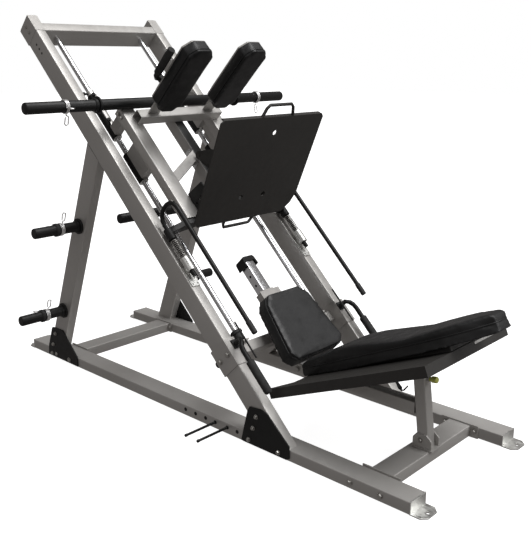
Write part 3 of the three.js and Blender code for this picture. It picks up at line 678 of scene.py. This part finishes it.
def plugs_and_holes():
    """Moulded plugs in open tube ends, drilled holes in the near rail, and the band pegs."""
    bm = bmesh.new()
    for side, sign in SIDES:
        place = SLOPE @ Matrix.Translation((sign * BEAM_X, 2.7965, BEAM_D))
        bmesh.ops.create_cube(bm, size=1.0, matrix=place @ Matrix.Diagonal((0.0445, 0.006, 0.0945, 1)))
    to_object("beam_plugs", bm, RUBBER, "frame", 30)

    bm = bmesh.new()
    for y in (0.839, 0.898, 0.971, 1.031, 1.095, 1.160):
        place = frame_along(FLAT @ Vector((-0.3902, y, HOLE_Z)), (-1, 0, 0))
        ring(bm, 0.0085, 0.0060, -0.001, 0.0012, place, 28, 0.0004)
    to_object("rail_grommets", bm, BLACK, "frame")
    bm = bmesh.new()
    for y in (0.839, 1.031, 1.095, 1.160):
        place = frame_along(FLAT @ Vector((-0.3902, y, HOLE_Z)), (-1, 0, 0))
        lathe(bm, [(0, 0.0002), (0.0061, 0.0002), (0.0061, -0.001)], place, 24)
    for side, sign in SIDES:
        for k in range(3):
            at = SLOPE @ Vector((sign * 0.3902, 2.655 - 0.028 * k, -0.403))
            lathe(bm, [(0, 0.0002), (0.0055, 0.0002), (0.0055, -0.001)], frame_along(at, (sign, 0, 0)), 24)
    to_object("hole_shadows", bm, HOLE, "frame")
    bm = bmesh.new()
    for y in (0.898, 0.971):
        place = frame_along(FLAT @ Vector((-0.3904, y, HOLE_Z)), (-1, 0, 0))
        lathe(bm, [(0, 0), (0.0055, 0), (0.0055, 0.160), (0.0068, 0.161), (0.0068, 0.168), (0.0055, 0.170),
                   (0, 0.170)], place, 24)
    to_object("band_pegs", bm, BLACK, "frame")


def sleeve_seams():
    """The beams' end sleeves: a shallow band that stands just proud of the tube."""
    for side, sign in SIDES:
        bm = bmesh.new()
        centre = Vector((sign * BEAM_X, 0, BEAM_D))
        for s0, s1 in ((2.700, 2.796),):
            half_x, half_d, rise = 0.025, 0.050, 0.0016
            outline = []
            for hx, hd in ((half_x + rise, half_d + rise), (half_x + 0.0002, half_d + 0.0002)):
                outline.append([(hx, hd), (-hx, hd), (-hx, -hd), (hx, -hd)])
            levels = [(outline[1], s0), (outline[0], s0 + 0.001), (outline[0], s1), (outline[1], s1)]
            rings = [[bm.verts.new(SLOPE @ (centre + Vector((x, s, d)))) for x, d in pts] for pts, s in levels]
            for a, b in zip(rings, rings[1:] + rings[:1]):
                for k in range(4):
                    bm.faces.new((a[k], a[(k + 1) % 4], b[(k + 1) % 4], b[k]))
        to_object(f"beam_sleeve_{side}", bm, SILVER, "frame", 30)


def knobs():
    """Knobs on the clamps and bearings, rings on the bearings, the tray's latch loop, and a bright zinc strip on
    part of the tray's lip that paints a highlight.
    """
    bm = bmesh.new()
    for side, sign in SIDES:
        place = frame_along(SLOPE @ Vector((sign * BEAM_X, 0.886, -0.4576)), -OFF_SLOPE)
        lathe(bm, [(0, 0), (0.008, 0), (0.008, 0.010), (0.016, 0.012), (0.017, 0.016), (0.017, 0.026),
                   (0.014, 0.030), (0, 0.031)], place, 24)
    to_object("clamp_knobs", bm, BLACK, "frame", 40)

    # Bright rings at the housings' ends, and the black knobs that stand beside them.
    for side, sign in SIDES:
        bm = bmesh.new()
        for s0, s1 in ((1.7965, 1.7995), (1.9605, 1.9635), (2.0565, 2.0595), (2.3205, 2.3235)):
            ring(bm, 0.0205, 0.0136, s0, s1, along_slope(sign * ROD_X, 0, ROD_D), edge=0.0006)
        ring(bm, 0.0190, 0.0136, 2.3235, 2.3480, along_slope(sign * ROD_X, 0, ROD_D), edge=0.001)
        to_object(f"bearing_ends_{side}", bm, ZINC, "carriage", 40)
        bm = bmesh.new()
        for s, out, start, length in (
                (2.336, (1, 0, 0.1), 0.0185, 0.036),
                (2.284, (0.56, 0, 0.83), 0.0230, 0.050),
                (2.129, (0.56, 0, 0.83), 0.0230, 0.050)):
            along = Vector((sign * out[0], out[1], out[2])).normalized()
            at = SLOPE @ (Vector((sign * ROD_X, s, ROD_D)) + along * start)
            place = frame_along(at, SLOPE.to_3x3() @ along)
            lathe(bm, [(0, 0), (0.0050, 0), (0.0050, length - 0.020), (0.0085, length - 0.019),
                       (0.0092, length - 0.016), (0.0092, length - 0.002), (0.0080, length), (0, length)], place, 20)
        to_object(f"bearing_knobs_{side}", bm, BLACK, "carriage", 40)
    bm = bmesh.new()
    path = [(0.356, 0.267), (0.340, 0.236), (0.318, 0.232), (0.298, 0.258)]
    points = rounded_path([FLAT @ Vector((0.040, y, z)) for y, z in path], 0.010, 5)
    tube(bm, densify(points, 0.004), 0.0032, 10)
    to_object("latch_loop", bm, BLACK, "back_rest", 60)
    # Painted highlight: a thin bright zinc strip on the right part of the tray's front lip stands in for light
    # caught along the lip's edge.
    bm = bmesh.new()
    strip = REST @ Matrix.Translation((0.168, -0.6708, 0.0075)) @ Matrix.Diagonal((0.248, 0.0014, 0.009, 1))
    bmesh.ops.create_cube(bm, size=1.0, matrix=strip)
    to_object("tray_lip_highlight", bm, ZINC, "back_rest", 30)


REFINED = [n for n in frame["nodes"] if n not in {
    "guide_rod_left", "guide_rod_right", "load_bar", "inner_storage_bar", "seat_pad", "back_pad",
    "shoulder_pad_left", "shoulder_pad_right", "stop_lever_left", "stop_lever_right",
    "seat_handle_left", "seat_handle_right", "shoulder_handle_left", "shoulder_handle_right",
    "storage_peg_lower_left", "storage_peg_lower_right", "storage_peg_upper_left", "storage_peg_upper_right",
}]
for name in REFINED:
    refine(name, material=ZINC if name.startswith("foot_front") or name.startswith("foot_rear") else None)


def arm_finish():
    """The centre arm's lower stretch is the chrome inner tube, and its pivot lug is black."""
    obj = bpy.data.objects["carriage_centre_frame.fine"]
    mesh = obj.data
    local = SLOPE.inverted()
    bm = bmesh.new()
    bm.from_mesh(mesh)
    for s in (1.858, 1.768, 1.838):
        bmesh.ops.bisect_plane(bm, geom=bm.verts[:] + bm.edges[:] + bm.faces[:],
                               plane_co=SLOPE @ Vector((0, s, 0)), plane_no=UP_SLOPE)
    for face in bm.faces:
        at = local @ face.calc_center_median()
        if at.z > -0.2575:
            face.material_index = 2
        elif 1.768 < at.y < 1.858 and abs(at.x) < 0.0262 and at.z > -0.30:
            face.material_index = 1
    bm.to_mesh(mesh)
    bm.free()
    mesh.materials.append(CHROME)
    mesh.materials.append(BLACK)


arm_finish()


def housing_finish(name):
    """A bearing housing's saddle is painted with the carriage, and its barrel is black."""
    mesh = bpy.data.objects[f"{name}.fine"].data
    local = SLOPE.inverted()
    bm = bmesh.new()
    bm.from_mesh(mesh)
    bmesh.ops.bisect_plane(bm, geom=bm.verts[:] + bm.edges[:] + bm.faces[:],
                           plane_co=SLOPE @ Vector((0, 0, SADDLE_D)), plane_no=OFF_SLOPE)
    for face in bm.faces:
        if (local @ face.calc_center_median()).z > SADDLE_D:
            face.material_index = 1
    bm.to_mesh(mesh)
    bm.free()
    mesh.materials.append(SILVER)


for side, _ in SIDES:
    housing_finish(f"bearing_housing_upper_{side}")
    housing_finish(f"bearing_housing_lower_{side}")

guide_rods()
storage()
load_bar()
levers()
handles()
bolts()
plugs_and_holes()
sleeve_seams()
knobs()

cushion("seat_pad", SLOPE, lambda p: p.z < -0.3445, 0.005, 4.0, 0.003, [((0, 0, -0.292), (0, 0, 1))])
for side, sign in SIDES:
    cushion(f"shoulder_pad_{side}", SLOPE, lambda p: p.y > 2.0255, 0.005, 4.0, 0.003,
            [((0, 1.983, 0), (0, 1, 0))])
cushion("back_pad", REST, lambda p: p.z < 0.0175 + max(0.0, (-0.18 - p.y) * 0.0466), 0.0065, 4.0, 0.004,
        [((0, 0.0, 0.052), (0, 0.035, 1))])


# ---------------------------------------------------------------- floor, light and camera
def stage():
    bpy.ops.mesh.primitive_plane_add(size=60, location=(0, 0, -0.0005))
    floor = bpy.context.object
    floor.name = "floor"
    mat, tree, shader = new_material("floor_paper", (0.44, 0.44, 0.44), 0.9)
    shader.inputs["Emission Color"].default_value = (1, 1, 1, 1)
    shader.inputs["Emission Strength"].default_value = 0.92
    tree.links.new(ramp(tree, noise(tree, 1.2, 3), grey(0.42), grey(0.46)), shader.inputs["Base Color"])
    floor.data.materials.append(mat)
    floor.visible_diffuse = False
    floor.visible_glossy = False

    world = bpy.data.worlds.new("studio")
    bpy.context.scene.world = world
    world.use_nodes = True
    # The camera sees a white sweep; the light that it gives is softer, so that the sides keep their tone.
    tree = world.node_tree
    back = tree.nodes["Background"]
    back.inputs["Color"].default_value = (1, 1, 1, 1)
    back.inputs["Strength"].default_value = 1.0
    soft = tree.nodes.new("ShaderNodeBackground")
    soft.inputs["Color"].default_value = (1, 0.95, 0.925, 1)
    soft.inputs["Strength"].default_value = 0.22
    seen = tree.nodes.new("ShaderNodeLightPath")
    mix = tree.nodes.new("ShaderNodeMixShader")
    tree.links.new(seen.outputs["Is Camera Ray"], mix.inputs["Fac"])
    tree.links.new(soft.outputs["Background"], mix.inputs[1])
    tree.links.new(back.outputs["Background"], mix.inputs[2])
    tree.links.new(mix.outputs["Shader"], tree.nodes["World Output"].inputs["Surface"])

    for name, at, size, power in (
        ("front", (1.6, -4.6, 3.0), 2.4, 85), ("near", (-4.6, -0.8, 2.6), 2.4, 14)):
        light = bpy.data.lights.new(name, "AREA")
        light.shape = "SQUARE"
        light.size = size
        light.energy = power
        lamp = bpy.data.objects.new(name, light)
        lamp.location = at
        lamp.rotation_mode = "QUATERNION"
        lamp.rotation_quaternion = (Vector(at) - Vector((0, 0, 0.7))).to_track_quat("Z", "Y")
        bpy.context.collection.objects.link(lamp)

    # One broad light from above is even from the low rails to the tall end.
    sky = bpy.data.lights.new("top", "SUN")
    sky.energy = 3.1
    sky.angle = 0.7
    lamp = bpy.data.objects.new("top", sky)
    lamp.rotation_mode = "QUATERNION"
    lamp.rotation_quaternion = Vector((0.18, -0.30, 1)).to_track_quat("Z", "Y")
    bpy.context.collection.objects.link(lamp)


def camera():
    data = bpy.data.cameras.new("camera")
    data.lens = 53.02
    data.sensor_width = 36
    cam = bpy.data.objects.new("camera", data)
    cam.location = (-2.4994, -1.2821 + Y0, 1.530)
    cam.rotation_mode = "QUATERNION"
    cam.rotation_quaternion = Vector((-0.708, -0.658, 0.2566)).normalized().to_track_quat("Z", "Y")
    bpy.context.collection.objects.link(cam)
    bpy.context.scene.camera = cam
    bpy.context.scene.view_settings.view_transform = "Standard"


stage()
camera()
